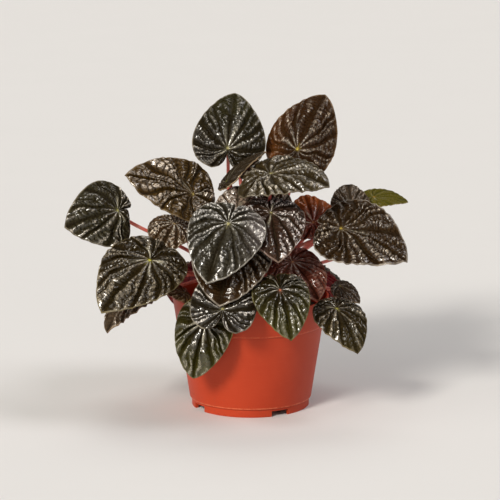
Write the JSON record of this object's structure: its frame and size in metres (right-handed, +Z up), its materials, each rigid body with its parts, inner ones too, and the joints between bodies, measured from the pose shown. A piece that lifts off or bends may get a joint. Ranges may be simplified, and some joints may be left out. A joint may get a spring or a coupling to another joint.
{
  "type": "potted ripple-leaved peperomia",
  "caption": "Small bushy foliage plant with puckered heart-shaped leaves in dark green, brown and wine on red petioles, growing from soil in a tapered orange-red plastic pot.",
  "frame": {"origin": "on the pot's axis, at the level of the surface that the pot stands on, at the middle of the pad under the pot", "axes": "+Z up, +X to the plant's right as seen from its front, -Y towards the front"},
  "size_m": [0.2412, 0.179, 0.214],
  "materials": {
    "pot_plastic": "satin moulded orange-red plastic",
    "soil": "matt, crumbly",
    "petiole": "satin, fleshy",
    "leaf_grey": "dark grey-green leaf, satin, silver sheen on the ridges",
    "leaf_olive": "dark olive leaf, satin, cream sheen on the ridges",
    "leaf_brown": "olive-brown leaf, satin, silver sheen on the ridges",
    "leaf_purple": "dark purple-brown leaf, satin",
    "leaf_wine": "wine-red leaf, satin",
    "leaf_young": "young olive-green leaf, satin"
  },
  "bodies": {
    "root": {"pot": "pot_plastic", "soil": "soil", "crown": "petiole", "leaf_top_left": "leaf_grey", "leaf_top_right": "leaf_brown", "leaf_left_upper": "leaf_olive", "leaf_far_left": "leaf_grey", "leaf_left_big": "leaf_olive", "leaf_left_lower": "leaf_brown", "leaf_left_inner": "leaf_brown", "leaf_front_upper": "leaf_grey", "leaf_front_lower": "leaf_brown", "leaf_heart_right": "leaf_purple", "leaf_red_right": "leaf_wine", "leaf_red_back": "leaf_wine", "leaf_right_big": "leaf_brown", "leaf_right_small": "leaf_brown", "leaf_young_right": "leaf_young", "leaf_rim_right": "leaf_olive", "leaf_low_right": "leaf_olive", "leaf_curled_right": "leaf_brown", "leaf_rim_centre": "leaf_grey", "leaf_low_left": "leaf_olive", "leaf_rim_left": "leaf_brown", "leaf_inner_wine": "leaf_wine", "leaf_crest_right": "leaf_olive", "leaf_crest_left": "leaf_brown", "leaf_crest_under": "leaf_brown", "leaf_heart_left": "leaf_purple", "leaf_back_left": "leaf_olive", "leaf_back_centre": "leaf_grey", "leaf_back_right": "leaf_brown", "leaf_back_upper": "leaf_olive", "leaf_back_high": "leaf_purple", "leaf_back_low_left": "leaf_brown", "leaf_back_low": "leaf_olive", "leaf_back_low_right": "leaf_grey", "leaf_right_back": "leaf_olive", "leaf_back_mid": "leaf_brown", "leaf_left_back": "leaf_grey"}
  },
  "joints": []
}
